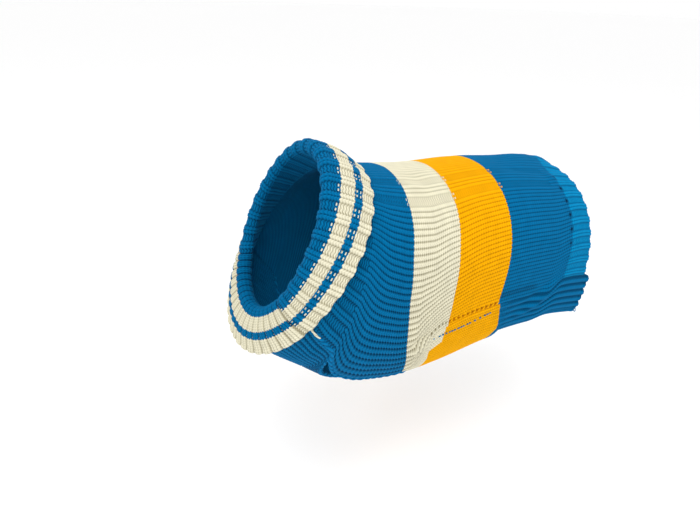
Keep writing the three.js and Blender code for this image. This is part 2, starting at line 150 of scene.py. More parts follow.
# The place across a stitch, from 0 at its middle to 1 at its side, that the V leaves where it is, how
# much of the V a purl stitch takes back, and over how many rows the V fades at a fixed end.
V_MIDDLE = 0.4
PURL_PULL = 1.3
FIXED_FADE = 2
# Half the width of a dash of yarn in a purl stitch, in wales.
DASH_HALF_WIDTH = 0.3

# Wales from the middle of a piece to its edge, and from rib to rib. In a wide rib: its purl wales, the
# middle of its valley, where and how steeply it steps down, and how wide that side is, in wales.
BACK_WALES = 42
BELLY_WALES = 34
WIDE_RIB_WALES = 4
WIDE_PURLS = (1, 2)
WIDE_VALLEY = 2
WIDE_RIB_SIDES = (1, 3)
WIDE_RIB_STEEPNESS = 0.8
RIB_SIDE_WIDTH = 0.5
FINE_RIB_WALES = 2
FRONT_RIB_WALES = 4
# The purl wales of the bands beside the spine, the middle of each band, and how far it reaches.
SPINE_PURLS = (6, 7, 11, 12)
SPINE_BANDS = (7, 12)
SPINE_BAND_REACH = 1.8

# How the parts of a stitch stand out in millimetres, across it from its side and along it from the
# gap between two rows, and how deep each lies in shade.
KNIT_ACROSS = np.array([-0.75, 0.28, 0.02, 0.28])
KNIT_ALONG = np.array([-0.32, 0.02, 0.16, 0.02])
PURL_ALONG = np.array([-0.4, 0.0, 0.35, 0.0])
SHADE_ACROSS = np.array([0.42, 0.05, 0.2, 0.05])
SHADE_ALONG = np.array([1.0, 0.5, 0.1, 0.5])
SHADE_PURL = np.array([0.85, 0.3, 0.05, 0.3])
LOOP_SHIFT = np.array([0, 1, 2, 1])
# The share of the shade along a stitch that shows on its legs, and the share that is added beside it.
ROW_GAP_SHADE = 0.35
SIDE_GAP_SHADE = 0.4
# Where wales crowd, the relief shrinks with them, but no further than to this share.
SMALLEST_RELIEF = 0.3
# Stretched wales spread: from how many widths at rest on, and over how many more. Then the legs of a
# stitch part, in wales, and the gap beside it lies deeper and shows its rungs.
SPREAD_START = 1.1
SPREAD_RANGE = 0.9
LEGS_APART = np.array([0.0, 0.17, 0.0, -0.17])
RUNGS = np.array([-1.0, 0.0, 1.0, 0.0])
RUNG_HEIGHT = 0.5
RUNG_SHADE = 0.3
SPREAD_DEPTH = 0.3
SPREAD_SHADE = 0.4
# The inner face: how far its small loops stand in, how deep the gaps between them go and lie in shade,
# and how much of the public face's ribs shows there.
INNER_LOOP = 0.35
INNER_GAP = 0.2
INNER_SHADES = (0.75, 0.1)
INNER_RIB_SHARE = 0.35

# Heights of the public face above the middle of the wall.
PLAIN_HEIGHT = 1.75
CREST_HEIGHT = 2.4
VALLEY_HEIGHT = 1.3
SPINE_DROP = 0.55
FRONT_CREST_HEIGHT = 2.8
STAND_HEIGHT = 1.2
STAND_RIB = 0.5
# How high an edge curls up, how far in from it the curl is highest, and how far the curl reaches from
# there: in wales at a side, and in rows at an end.
EDGE_ROLL = 0.7
SIDE_ROLL_INSET = 0.7
SIDE_ROLL_REACH = 1.3
END_ROLL_INSET = 1
END_ROLL_REACH = 1.5
# Rows over which a rib fades, and how many rows longer its crest is than its valley in the yoke.
RIB_FADE = 2
RIB_TIP = 2
# A fine rib's crest is this much above its valley on the chest and on a skirt, and the plain knitting
# lies at this share of the rib.
CHEST_RIB = 1.2
CHEST_RIB_LEVEL = 0.6
SKIRT_RIB = 1.8
SKIRT_RIB_LEVEL = 0.4
# How far the crests of the ribs reach beyond the valleys at an edge, as a share of the way along, and
# over how many rows.
HEM_SCALLOP = 0.0018
COLLAR_SCALLOP = 0.014
SCALLOP_ROWS = 3
# The same for the arcs at the end of a skirt, how wide they are in wales, and how high on an arc the
# plain edge would lie.
SKIRT_SCALLOP = 0.014
SKIRT_SCALLOP_ROWS = 4
SKIRT_SCALLOP_WALES = 4
SKIRT_SCALLOP_LEVEL = 0.8
# How deep in shade the sides or the valleys of the ribs lie, and a hole in the knitting.
BACK_RIB_SHADE = 0.3
FINE_RIB_SHADE = 0.45
COLLAR_RIB_SHADE = 0.25
FRONT_RIB_SHADE = 0.6
HOLE_SHADE = 0.9
# A knit wale in a fine rib takes this share of the rib's width, and hides the purl wale beside it.
FINE_KNIT_SHARE = 0.68
# The front half of the collar has a narrow purl wale between ribs of three knit ones: how much
# narrower the purl wale is, how much wider the knit ones are, and how far the ribs are rounded, in wales.
FRONT_PURL_NARROWING = 0.6
FRONT_KNIT_WIDENING = 0.2
FRONT_RIB_ROUNDING = 1.5

# The back panel and its hem: the first row of each stripe and the last row's end, and where those
# rows lie along the body, for some shares of the way from the ridge to the panel's edge.
BACK_ROWS = (0, 36, 58, 80, 109, 122)
BACK_BORDERS = [
    (0.00, 0.0, 0.308, 0.486, 0.650, HEM_START, 0.965),
    (0.35, 0.0, 0.306, 0.484, 0.650, HEM_START, 0.966),
    (0.60, 0.0, 0.306, 0.476, 0.648, HEM_START, 0.969),
    (0.80, 0.0, 0.310, 0.467, 0.642, HEM_START, 0.972),
    (1.00, 0.0, 0.326, 0.456, 0.632, HEM_START, BACK_END),
]
YOKE_ROWS = 11
# Rounds of working out where a wale lies and how much the wales crowd there.
PLACE_ROUNDS = 3
# The ladder of open stitches: its wale, rows and width, the rows over which its ends fade, half the
# height of a rung in rows, and how much less shade there is on it.
LADDER_WALE = 39.5
LADDER_ROWS = (78, 97)
LADDER_WIDTH = 1.5
LADDER_FADE = 3
LADDER_RUNG = 0.3
LADDER_RUNG_LIGHT = 0.75
# How open the stitches are above the hem: wale, share. Then how many rows before the hem the holes
# lie, and how far they reach across and along.
HEM_HOLES = [(6, 0.2), (12, 1), (28, 1), (33, 0.15)]
HEM_HOLE_ROWS = 0.3
HEM_HOLE_WIDTH = 1.1
HEM_HOLE_LENGTH = 1.6
# The open stitches beside the flank seam: row, wale; and how wide they are.
SEAM_HOLES = [(47, 39.4), (52, 39.3), (58, 40.2), (65, 41.0), (80, 41.3)]
SEAM_HOLE_WIDTH = 0.8
# The even flow of the wales, as the edge of a panel without the leg hole's dip, and the power that
# keeps their bend to the true edge close to it.
BACK_FLOW = [
    (0.00, 0.610), (0.10, 0.665), (0.20, 0.715), (0.31, 0.750), (0.38, 0.715), (0.46, 0.640),
    (0.58, 0.576), (0.80, 0.560), (0.92, 0.515), (1.00, 0.502),
]
EDGE_BEND = 5
SPINE_PURL_ROWS = (11, 104)
# How much closer the wales lie at the ridge than at the edge: place along, amount.
WALE_CROWDING = [
    (0.00, 0.12), (0.16, 0.24), (0.31, 0.27), (0.40, 0.14), (0.50, 0.03), (0.60, 0.00),
    (1.00, 0.00),
]

# The belly panel, likewise. Near its seams the cream stripe goes on for a few rows more.
BELLY_ROWS = (0, 34, 44, 78, 84, 127)
BELLY_BORDERS = [
    (0.00, 0.0, 0.326, 0.400, 0.668, NOTCH_FRONT, 1.0),
    (0.70, 0.0, 0.326, 0.398, 0.668, NOTCH_FRONT, 1.0),
    (0.86, 0.0, 0.326, 0.400, 0.654, NOTCH_FRONT, 1.0),
    (1.00, 0.0, 0.326, 0.410, 0.640, 0.680, 1.0),
]
CREAM_STEP_WALE = 29
CREAM_STEP_ROWS = 6
CHEST_RIB_ROWS = 26
CHEST_RIB_FADE = 4
SKIRT_WALES = (22, 34)
SKIRT_RIB_WALE = 24
SKIRT_RIB_ROWS = (72, 92)

# The collar: its rows up the stand, over the fold and down the flap, and each half's stripes.
COLLAR_ROWS = (0, 12, 18, 34)
COLLAR_PLACES = (0.0, STAND_END, FOLD_END, 1.0)
COLLAR_STRIPES = {
    "back": ((0, BLUE), (21, CREAM), (26, BLUE), (29, CREAM)),
    "front": ((0, BLUE), (19, CREAM), (25, BLUE), (28, CREAM)),
}
# The rows over which the low ribs of the stand rise to their full height.
STAND_TOP_ROWS = (9, 13)

# Points of a cross section, and of a surface's grid round half of it and along it.
RING_SAMPLES = 240
GRID_ROUND = 481
GRID_ALONG = 501

# The groups of a piece's faces: the two faces, two rims along the rows, then two along the sides.
PUBLIC_FACE = 0
INNER_FACE = 1
FIRST_RIM = 2
FIRST_SIDE_RIM = 4
# The flat map of a piece: its margin, the share that the public face takes, where the rims' strips
# start, how far apart and how high they are, and where the inner face starts.
MAP_MARGIN = 0.002
MAP_FACE_END = 0.72
MAP_RIM_START = 0.73
MAP_RIM_STEP = 0.006
MAP_RIM_HEIGHT = 0.004
MAP_INNER_START = 0.76


def smooth_table(rows):
    """A lookup through rows of a place and its values, which never overshoots."""
    table = np.asarray(rows, float)
    at, values = table[:, 0], table[:, 1:]
    slopes = np.diff(values, axis=0) / np.diff(at)[:, None]
    before, after = slopes[:-1], slopes[1:]
    agree = before * after > 0
    mean = 2 * before * after / np.where(agree, before + after, 1)
    tangents = np.vstack([slopes[:1], np.where(agree, mean, 0), slopes[-1:]])

    def look_up(places):
        x = np.clip(places, at[0], at[-1])
        i = np.clip(np.searchsorted(at, x, side="right") - 1, 0, len(at) - 2)
        span = (at[i + 1] - at[i])[..., None]
        t = (x - at[i])[..., None] / span
        start = (2 * t**3 - 3 * t**2 + 1) * values[i] + (t**3 - 2 * t**2 + t) * span * tangents[i]
        end = (3 * t**2 - 2 * t**3) * values[i + 1] + (t**3 - t**2) * span * tangents[i + 1]
        return start + end

    return look_up


def half_rings(sections):
    """The half ring of each section, from its top down the left, at places evenly spaced by length."""
    y, z, tilt, up, down, half, top, bottom = (c[:, None] for c in np.asarray(sections, float).T)
    angle = np.linspace(0, np.pi, RING_SAMPLES + 1)[None]
    c, s = np.cos(angle), np.abs(np.sin(angle))
    power = 2 / np.where(c > 0, top, bottom)
    height = np.where(c > 0, up, down) * np.sign(c) * np.abs(c) ** power
    lean = np.radians(tilt)
    points = np.stack([half * s**power, y + height * np.sin(lean), z + height * np.cos(lean)], -1)
    length = np.zeros(points.shape[:2])
    length[:, 1:] = np.cumsum(np.linalg.norm(np.diff(points, axis=1), axis=2), axis=1)
    even = np.linspace(0, 1, GRID_ROUND)
    rings = np.empty((len(points), GRID_ROUND, 3))
    for i, (ring, run) in enumerate(zip(points, length)):
        for k in range(3):
            rings[i, :, k] = np.interp(even, run / run[-1], ring[:, k])
    return rings, length[:, -1]


def unit(vectors):
    return vectors / np.maximum(np.linalg.norm(vectors, axis=-1, keepdims=True), 1e-12)


def bilinear(grid, i, j):
    """Values of a grid at fractional places."""
    i = np.clip(i, 0, grid.shape[0] - 1.000001)
    j = np.clip(j, 0, grid.shape[1] - 1.000001)
    i0, j0 = i.astype(int), j.astype(int)
    fi, fj = i - i0, j - j0
    if grid.ndim == 3:
        fi, fj = fi[..., None], fj[..., None]
    low = grid[i0, j0] * (1 - fj) + grid[i0, j0 + 1] * fj
    high = grid[i0 + 1, j0] * (1 - fj) + grid[i0 + 1, j0 + 1] * fj
    return low * (1 - fi) + high * fi


class Surface:
    """A smooth surface kept as a dense grid, from 0 to 1 along it and from -1 to 1 across it."""

    def __init__(self, points, outward=1):
        self.points = points
        along, across = np.gradient(points, axis=0), np.gradient(points, axis=1)
        self.normals = unit(np.cross(across, along)) * outward
        self.lift = np.zeros(points.shape[:2])

    def place(self, across, along):
        rows, columns = self.points.shape[:2]
        i = np.asarray(along, float) * (rows - 1)
        j = (np.asarray(across, float) + 1) / 2 * (columns - 1)
        return np.broadcast_arrays(i, j)

    def at(self, across, along, height=0):
        i, j = self.place(across, along)
        out = bilinear(self.lift, i, j) + height
        return bilinear(self.points, i, j) + unit(bilinear(self.normals, i, j)) * out[..., None]


def body_surface():
    along = np.linspace(0, 1, GRID_ALONG)
    rings, girths = half_rings(smooth_table(BODY_SECTIONS)(along))
    round_it = np.linspace(0, 1, GRID_ROUND)
    bow = smooth_table(BOW_ALONG)(along) * smooth_table(BOW_ACROSS)(round_it)[:, 0]
    rings[..., 1] += bow
    right = rings[:, :0:-1] * (-1, 1, 1)
    surface = Surface(np.concatenate([right, rings], axis=1))
    for side, u0, s0, u1, s1, width, height in FOLDS + FINE_FOLDS:
        turn = side or 1
        start, end = surface.at(turn * u0, s0), surface.at(turn * u1, s1)
        add_fold(surface, side, start, end, width, height)
    return surface, girths


def add_fold(surface, side, start, end, width, height):
    run = end - start
    share = (surface.points - start) @ run / (run @ run)
    inside = np.clip(share, 0, 1)
    beside = np.linalg.norm(surface.points - start - inside[..., None] * run, axis=-1) / width
    shape = np.sin(np.pi * inside) ** 2 * np.exp(-(beside**2))
    same_side = np.sign(np.linspace(-1, 1, surface.points.shape[1])) * side >= 0
    surface.lift += height * shape * same_side[None]


def ring_at(ring, shares):
    """Points of a half ring at signed shares of the way round it."""
    place = np.abs(shares) * (GRID_ROUND - 1)
    i = np.clip(place.astype(int), 0, GRID_ROUND - 2)
    f = (place - i)[..., None]
    points = ring[i] * (1 - f) + ring[i + 1] * f
    points[..., 0] *= np.sign(shares)
    return points


def collar_surface(is_back):
    sections = [BODY_SECTIONS[0][1:], FOLD_RING, FLAP_RING]
    rings, _ = half_rings(sections)
    across = np.linspace(-1, 1, 2 * GRID_ROUND - 1)
    lines = []
    for ring, join in zip(rings, COLLAR_JOINS):
        if is_back:
            shares = across * join
        else:
            shares = np.where(across < 0, -1, 1) * (1 - np.abs(across) * (1 - join))
        lines.append(ring_at(ring, shares))
    neck, top, edge = lines
    height = np.linalg.norm(top - neck, axis=-1)
    up = unit(top - neck)
    to_edge = edge - neck
    edge_up = np.sum(to_edge * up, axis=-1)
    out = to_edge - up * edge_up[:, None]
    edge_out = np.linalg.norm(out, axis=-1)
    out = unit(out)
    points = np.empty((GRID_ALONG, len(across), 3))
    for i, v in enumerate(np.linspace(0, 1, GRID_ALONG)):
        rise, reach = collar_profile(v, height - COLLAR_FOLD_RADIUS, edge_up, edge_out)
        points[i] = neck + up * rise[:, None] + out * reach[:, None]
    return Surface(points, 1 if is_back else -1)


def collar_profile(v, straight, edge_up, edge_out):
    """How far up and out from the neck seam the collar lies at a place along it: up the stand, over
    the fold and down the flap."""
    if v <= STAND_END:
        return SEAM_GAP / 2 + (straight - SEAM_GAP / 2) * v / STAND_END, np.zeros_like(straight)
    if v <= FOLD_END:
        angle = np.pi * (v - STAND_END) / (FOLD_END - STAND_END)
        reach = np.full_like(straight, COLLAR_FOLD_RADIUS * (1 - np.cos(angle)))
        return straight + COLLAR_FOLD_RADIUS * np.sin(angle), reach
    share = (v - FOLD_END) / (1 - FOLD_END)
    bulge = FLAP_BULGE * np.sin(np.pi * share)
    reach = 2 * COLLAR_FOLD_RADIUS + (edge_out - 2 * COLLAR_FOLD_RADIUS) * share + bulge
    return straight + (edge_up - straight) * share, reach


def hump(x):
    """A smooth bump: 1 at 0, and 0 from 1 on."""
    return 0.5 + 0.5 * np.cos(np.pi * np.clip(x, -1, 1))


def ramp(x, start, end):
    return np.clip((x - start) / (end - start), 0, 1)


def station(borders, rows, share, y):
    """The place along the body of row y, at a share of the way from a panel's middle to its edge."""
    table = np.array(borders)
    marks = [np.interp(share, table[:, 0], column) for column in table[:, 1:].T]
    place = marks[0]
    for i in range(len(rows) - 1):
        place = place + ramp(y, rows[i], rows[i + 1]) * (marks[i + 1] - marks[i])
    return place


class Knitting:
    """What every piece of knitting has in common. x counts wales and y counts rows. Each kind of piece
    says which rows are fixed, where a stitch goes, whether it is a purl stitch, how high it stands,
    how much deeper in shade a place lies than its stitch alone would make it, and which yarn it has."""

    flipped = False
    wale_width = WALE_WIDTH
    held = "draped"

    def __init__(self, name, surface, wales, rows, yarn):
        self.name = name
        self.surface = surface
        self.wales = wales
        self.rows = rows
        self.yarn = yarn

    def grid(self, steps):
        x = np.arange(self.wales[0] * steps, self.wales[1] * steps + 1) / steps
        y = np.arange(self.rows[0] * steps, self.rows[1] * steps + 1) / steps
        return np.meshgrid(x, y)

    def stitches(self, x, y):
        wale = np.floor(np.clip(x, self.wales[0], self.wales[1] - 0.001)).astype(int)
        row = np.floor(np.clip(y, self.rows[0], self.rows[1] - 0.001)).astype(int)
        return wale, row

    def pulled(self, x, y, purl):
        """Rows pulled into a V at each knit stitch, but straight at ends that are fixed."""
        side = 2 * np.abs(x - np.floor(x) - 0.5)
        pull = V_PULL * (side - V_MIDDLE) * (1 - PURL_PULL * purl)
        for row in self.fixed_rows:
            pull = pull * np.clip(np.abs(y - row) / FIXED_FADE, 0, 1)
        return y + pull

    def outer(self):
        """The public face: its points, its shade, and the wale and row of each point."""
        x, y = self.grid(STEPS)
        wale, row = self.stitches(x, y)
        step_x = np.round(x * STEPS).astype(int) % STEPS
        step_y = np.round(y * STEPS).astype(int) % STEPS
        purl = self.purl(wale, row).astype(float)
        beside = self.purl(np.maximum(wale - 1, self.wales[0]), row).astype(float)
        purl = np.where(step_x == 0, (purl + beside) / 2, purl)
        pulled = self.pulled(x, y, purl)
        _, _, pitch = self.place(x, pulled)
        spread = np.clip((pitch / WALE_WIDTH - SPREAD_START) / SPREAD_RANGE, 0, 1)
        small = np.clip(pitch / WALE_WIDTH, SMALLEST_RELIEF, 1)
        across, along, _ = self.place(x + LEGS_APART[step_x] * spread, pulled)
        gap = step_x == 0
        rung = RUNGS[step_y] * spread * gap
        knit = KNIT_ACROSS[step_x] + KNIT_ALONG[step_y]
        knit = knit + RUNG_HEIGHT * rung - SPREAD_DEPTH * spread * gap
        loop_step = (step_y + LOOP_SHIFT[step_x]) % STEPS
        relief = small * (knit + (PURL_ALONG[loop_step] - knit) * purl)
        knit_shade = np.maximum(SHADE_ACROSS[step_x], ROW_GAP_SHADE * SHADE_ALONG[step_y])
        gap_shade = SIDE_GAP_SHADE * SHADE_ALONG[step_y] - RUNG_SHADE * rung + SPREAD_SHADE * spread
        knit_shade = knit_shade + gap * gap_shade
        shade = knit_shade + (SHADE_PURL[loop_step] - knit_shade) * purl + self.shade(x, y)
        points = self.surface.at(across, along, self.height(x, y) + relief)
        return points, np.clip(shade, 0, 1), x, y

    def inner(self):
        """The inner face, where each stitch shows as small loops, one beside the gap of the next."""
        x, y = self.grid(INNER_STEPS)
        across, along, _ = self.place(x, y)
        is_loop = np.round((x + y) * INNER_STEPS).astype(int) % 2
        relief = INNER_GAP - (INNER_GAP + INNER_LOOP) * is_loop
        ribs = INNER_RIB_SHARE * np.minimum(self.height(x, y) - PLAIN_HEIGHT, 0)
        points = self.surface.at(across, along, relief + ribs - WALL / 2)
        return points, np.choose(is_loop, INNER_SHADES), x, y

    def face_colours(self, x, y):
        """The yarn of each face. Where it changes, the purl stitches of the darker yarn show a dash
        of the paler one, half a row away from the border."""
        wale, row = self.stitches(x, y)
        colours = self.colour(wale, row)
        dash = self.purl(wale, row) & (np.abs(x - np.floor(x) - 0.5) < DASH_HALF_WIDTH)
        is_late = y - np.floor(y) > 0.5
        for step, in_time in ((-1, is_late), (1, ~is_late)):
            beside = self.colour(wale, row + step)
            paler = PALENESS[beside] > PALENESS[colours]
            colours = np.where(dash & in_time & paler, beside, colours)
        return colours

    def build(self, materials):
        outer, shade, outer_x, outer_y = self.outer()
        inner, inner_shade, inner_x, inner_y = self.inner()
        fine = np.arange(outer_x.size).reshape(outer_x.shape)
        coarse = np.arange(inner_x.size).reshape(inner_x.shape) + fine.size
        faces = [quads_of(fine), quads_of(coarse)[:, ::-1], *rim_faces(fine, coarse)]
        if self.flipped:
            faces = [f[:, ::-1] for f in faces]
        points = np.concatenate([outer.reshape(-1, 3), inner.reshape(-1, 3)])
        x = np.concatenate([outer_x.ravel(), inner_x.ravel()])
        y = np.concatenate([outer_y.ravel(), inner_y.ravel()])
        stitch = np.stack([x, y], -1)
        middle = np.concatenate([stitch[f].mean(axis=1) for f in faces])
        inside = np.repeat([0.0, 1.0], [fine.size, coarse.size])
        shades = np.concatenate([shade.ravel(), inner_shade.ravel()])
        item = mesh_object(self.name, points, faces, shades)
        colours = self.face_colours(middle[:, 0], middle[:, 1])
        used = sorted(set(colours.tolist()), key=lambda colour: (colour != self.yarn, colour))
        slot_of = np.zeros(len(SLOTS), np.int32)
        for i, colour in enumerate(used):
            item.data.materials.append(materials[colour])
            slot_of[colour] = i
        item.data.polygons.foreach_set("material_index", slot_of[colours])
        corners = np.concatenate([f.ravel() for f in faces])
        add_map(item, "knit", stitch[corners])
        add_map(item, "OFBake", self.bake_map(stitch[corners], inside[corners], faces))
        return item

    def flat_size(self):
        """The width and length that the piece is knitted to, in metres."""
        wales, rows = np.diff(self.wales)[0], np.diff(self.rows)[0]
        return float(wales * self.wale_width / 1000), float(rows * ROW_HEIGHT / 1000)

    def bake_map(self, stitch, inside, faces):
        """A flat map: the public face at the bottom, then a strip for each rim, then the inner face."""
        low = np.array([self.wales[0], self.rows[0]])
        size = np.array([self.wales[1], self.rows[1]]) - low
        across, along = (MAP_MARGIN + (1 - 2 * MAP_MARGIN) * (stitch - low) / size).T
        group = np.repeat(np.arange(len(faces)), [f.size for f in faces])
        strip = MAP_RIM_START + MAP_RIM_STEP * (group - FIRST_RIM) + MAP_RIM_HEIGHT * inside
        public = MAP_FACE_END * along
        inner = MAP_INNER_START + (1 - MAP_INNER_START) * along
        u = np.where(group >= FIRST_SIDE_RIM, along, across)
        v = np.select([group == PUBLIC_FACE, group == INNER_FACE], [public, inner], strip)
        return np.stack([u, v], -1)


def quads_of(grid):
    corners = [grid[:-1, :-1], grid[:-1, 1:], grid[1:, 1:], grid[1:, :-1]]
    return np.stack(corners, -1).reshape(-1, 4)


def rim_faces(fine, coarse):
    """Triangles that join the border of the public face to that of the inner one, which has half as
    many points: along the first and the last row, then along the two sides."""
    borders = [
        (fine[0], coarse[0], False), (fine[-1], coarse[-1], True),
        (fine[:, 0], coarse[:, 0], True), (fine[:, -1], coarse[:, -1], False),
    ]
    rims = []
    for line, other, turned in borders:
        start, middle, end = line[:-1:2], line[1::2], line[2::2]
        a, b = other[:-1], other[1:]
        fan = [(a, middle, start), (a, b, middle), (b, end, middle)]
        triangles = np.concatenate([np.stack(corners, -1) for corners in fan])
        rims.append(triangles[:, ::-1] if turned else triangles)
    return rims


def mesh_object(name, points, faces, shades):
    """A smooth mesh from points in millimetres, faces of one size a group, and how deep in shade each
    point lies."""
    mesh = bpy.data.meshes.new(name)
    sizes = np.concatenate([np.full(len(f), f.shape[1]) for f in faces])
    corners = np.concatenate([f.ravel() for f in faces])
    starts = np.concatenate([[0], np.cumsum(sizes)[:-1]])
    mesh.vertices.add(len(points))
    mesh.vertices.foreach_set("co", ((points + SHIFT) / 1000).astype(np.float32).ravel())
    mesh.loops.add(len(corners))
    mesh.loops.foreach_set("vertex_index", corners.astype(np.int32))
    mesh.polygons.add(len(sizes))
    mesh.polygons.foreach_set("loop_start", starts.astype(np.int32))
    mesh.polygons.foreach_set("loop_total", sizes.astype(np.int32))
    mesh.polygons.foreach_set("use_smooth", np.ones(len(sizes), bool))
    attribute = mesh.attributes.new("shade", "FLOAT", "POINT")
    attribute.data.foreach_set("value", shades.astype(np.float32))
    mesh.update()
    item = bpy.data.objects.new(name, mesh)
    bpy.context.scene.collection.objects.link(item)
    return item


def add_map(item, name, values):
    layer = item.data.uv_layers.new(name=name)
    layer.data.foreach_set("uv", values.astype(np.float32).ravel())


class BackKnitting(Knitting):
    """A stripe of the back panel, or its hem."""

    fixed_rows = (BACK_ROWS[0], BACK_ROWS[-1])

    def place(self, x, y):
        share = np.abs(x) / BACK_WALES
        round_it = share
        for _ in range(PLACE_ROUNDS):
            s = station(BACK_BORDERS, BACK_ROWS, round_it, y)
            crowding = crowding_at(s)[..., 0]
            root = np.sqrt((1 + crowding) ** 2 - 4 * crowding * share)
            round_it = 2 * share / (1 + crowding + root)
        girth = np.interp(s, np.linspace(0, 1, GRID_ALONG), body_girths)
        edge = edges_at(s)[..., 0] - SEAM_GAP / 2 / girth
        flow = back_flow_at(s)[..., 0]
        across = round_it * flow + round_it**EDGE_BEND * (edge - flow)
        last = BACK_ROWS[-1]
        s = s + HEM_SCALLOP * (wide_rib(x) - 0.5) * ramp(y, last - SCALLOP_ROWS, last)
        pitch = flow * girth / BACK_WALES / (1 + crowding - 2 * crowding * round_it)
        return np.sign(x) * across, s, pitch

    def purl(self, wale, row):
        ribbed = (row < YOKE_ROWS) | (row >= BACK_ROWS[4])
        in_rib = ribbed & np.isin(wale % WIDE_RIB_WALES, WIDE_PURLS)
        beside_spine = (row >= SPINE_PURL_ROWS[0]) & (row < SPINE_PURL_ROWS[1])
        return in_rib | (beside_spine & np.isin(from_middle(wale), SPINE_PURLS))

    def height(self, x, y):
        rib = wide_rib(x)
        tips = RIB_TIP * hump((x % WIDE_RIB_WALES - WIDE_VALLEY) / WIDE_VALLEY)
        yoke = 1 - ramp(y, YOKE_ROWS - tips, YOKE_ROWS + RIB_FADE - tips)
        ribbed = np.maximum(yoke, ramp(y, BACK_ROWS[4], BACK_ROWS[4] + RIB_FADE))
        bands = sum(hump((np.abs(x) - middle) / SPINE_BAND_REACH) for middle in SPINE_BANDS)
        start, end = SPINE_PURL_ROWS
        bands = bands * ramp(y, start - 1, start + 1) * (1 - ramp(y, end - 1, end + 1))
        ribs = VALLEY_HEIGHT + (CREST_HEIGHT - VALLEY_HEIGHT) * rib
        roll = side_roll(x, BACK_WALES)
        return PLAIN_HEIGHT + (ribs - PLAIN_HEIGHT) * ribbed - SPINE_DROP * bands + roll

    def shade(self, x, y):
        ribbed = (y < YOKE_ROWS) | (y >= BACK_ROWS[4])
        holes = HOLE_SHADE * np.maximum(self.hem_holes(x, y), self.seam_holes(x, y))
        return BACK_RIB_SHADE * ribbed * wide_rib_sides(x) + holes + self.ladder_shade(x, y)

    def hem_holes(self, x, y):
        """How open the last stitches above the hem are."""
        along = hump((y - BACK_ROWS[4] + HEM_HOLE_ROWS) / HEM_HOLE_LENGTH)
        across = hump((x % WIDE_RIB_WALES - WIDE_VALLEY) / HEM_HOLE_WIDTH)
        return along * across * np.interp(np.abs(x), *np.transpose(HEM_HOLES))

    def seam_holes(self, x, y):
        """How open the stitches beside the flank seam are, in every other row."""
        rows, wales = np.transpose(SEAM_HOLES)
        beside_seam = hump((np.abs(x) - np.interp(y, rows, wales)) / SEAM_HOLE_WIDTH)
        return beside_seam * ((y > rows[0]) & (y < rows[-1]) & (y % 2 < 1))

    def ladder_shade(self, x, y):
        """The shade of a run of open stitches with the yarn across it as rungs."""
        start, end = LADDER_ROWS
        ends = ramp(y, start, start + LADDER_FADE) * (1 - ramp(y, end - LADDER_FADE, end))
        ladder = hump((np.abs(x) - LADDER_WALE) / LADDER_WIDTH) * ends
        rungs = np.abs(y % 1 - 0.5) < LADDER_RUNG
        return ladder * (HOLE_SHADE - LADDER_RUNG_LIGHT * rungs)

    def colour(self, wale, row):
        # The hem takes the blue painted lighter, as painted light on the rear hem.
        stripe = np.searchsorted(BACK_ROWS[1:-1], row, side="right")
        return np.array([BLUE, CREAM, YELLOW, BLUE, LIT_HEM_BLUE])[stripe]


class BellyKnitting(Knitting):
    """A stripe of the belly panel, or one of its skirts. x runs from the right flank to the left."""

    flipped = True
    fixed_rows = (BELLY_ROWS[0], BELLY_ROWS[-1])

    def place(self, x, y):
        on_chest = 1 - ramp(y, CHEST_RIB_ROWS, CHEST_RIB_ROWS + CHEST_RIB_FADE)
        in_ribs = np.maximum(self.skirt_share(x, y), on_chest)
        share = np.abs(x + in_ribs * fine_rib_shift(x)) / BELLY_WALES
        s = station(BELLY_BORDERS, BELLY_ROWS, share, y)
        girth = np.interp(s, np.linspace(0, 1, GRID_ALONG), body_girths)
        width = 1 - edges_at(s)[..., 1] - SEAM_GAP / 2 / girth
        last = BELLY_ROWS[-1]
        arcs = np.abs(np.sin(np.pi * (np.abs(x) - SKIRT_WALES[0]) / SKIRT_SCALLOP_WALES))
        scallop = np.sqrt(arcs) - SKIRT_SCALLOP_LEVEL
        s = s + SKIRT_SCALLOP * scallop * ramp(y, last - SKIRT_SCALLOP_ROWS, last)
        return np.where(x < 0, -1, 1) * (1 - share * width), s, width * girth / BELLY_WALES

    def purl(self, wale, row):
        side = from_middle(wale)
        on_skirt = (side >= SKIRT_RIB_WALE) & (row >= np.mean(SKIRT_RIB_ROWS))
        return ((row < CHEST_RIB_ROWS) | on_skirt) & (side % FINE_RIB_WALES == 1)

    def height(self, x, y):
        rib = fine_rib(x)
        chest = 1 - ramp(y, CHEST_RIB_ROWS, CHEST_RIB_ROWS + RIB_FADE)
        chest_ribs = chest * (rib - CHEST_RIB_LEVEL) * CHEST_RIB
        skirt_ribs = self.skirt_share(x, y) * (rib - SKIRT_RIB_LEVEL) * SKIRT_RIB
        flat = PLAIN_HEIGHT + chest_ribs + skirt_ribs
        return flat + side_roll(x, BELLY_WALES) + end_roll(y, BELLY_ROWS[-1])

    def skirt_share(self, x, y):
        """The share of their full form that the skirt's ribs have at a place."""
        return ramp(y, *SKIRT_RIB_ROWS) * ramp(np.abs(x), SKIRT_RIB_WALE - 1, SKIRT_RIB_WALE)

    def shade(self, x, y):
        ribbed = np.maximum(self.skirt_share(x, y), y < CHEST_RIB_ROWS)
        return FINE_RIB_SHADE * ribbed * (1 - fine_rib(x))

    def colour(self, wale, row):
        step = np.where(from_middle(wale) >= CREAM_STEP_WALE, CREAM_STEP_ROWS, 0)
        blue_front, cream, yellow = BELLY_ROWS[1:4]
        late = [row < blue_front, row < cream + step, row < yellow]
        return np.select(late, [BLUE, CREAM, YELLOW], BLUE)


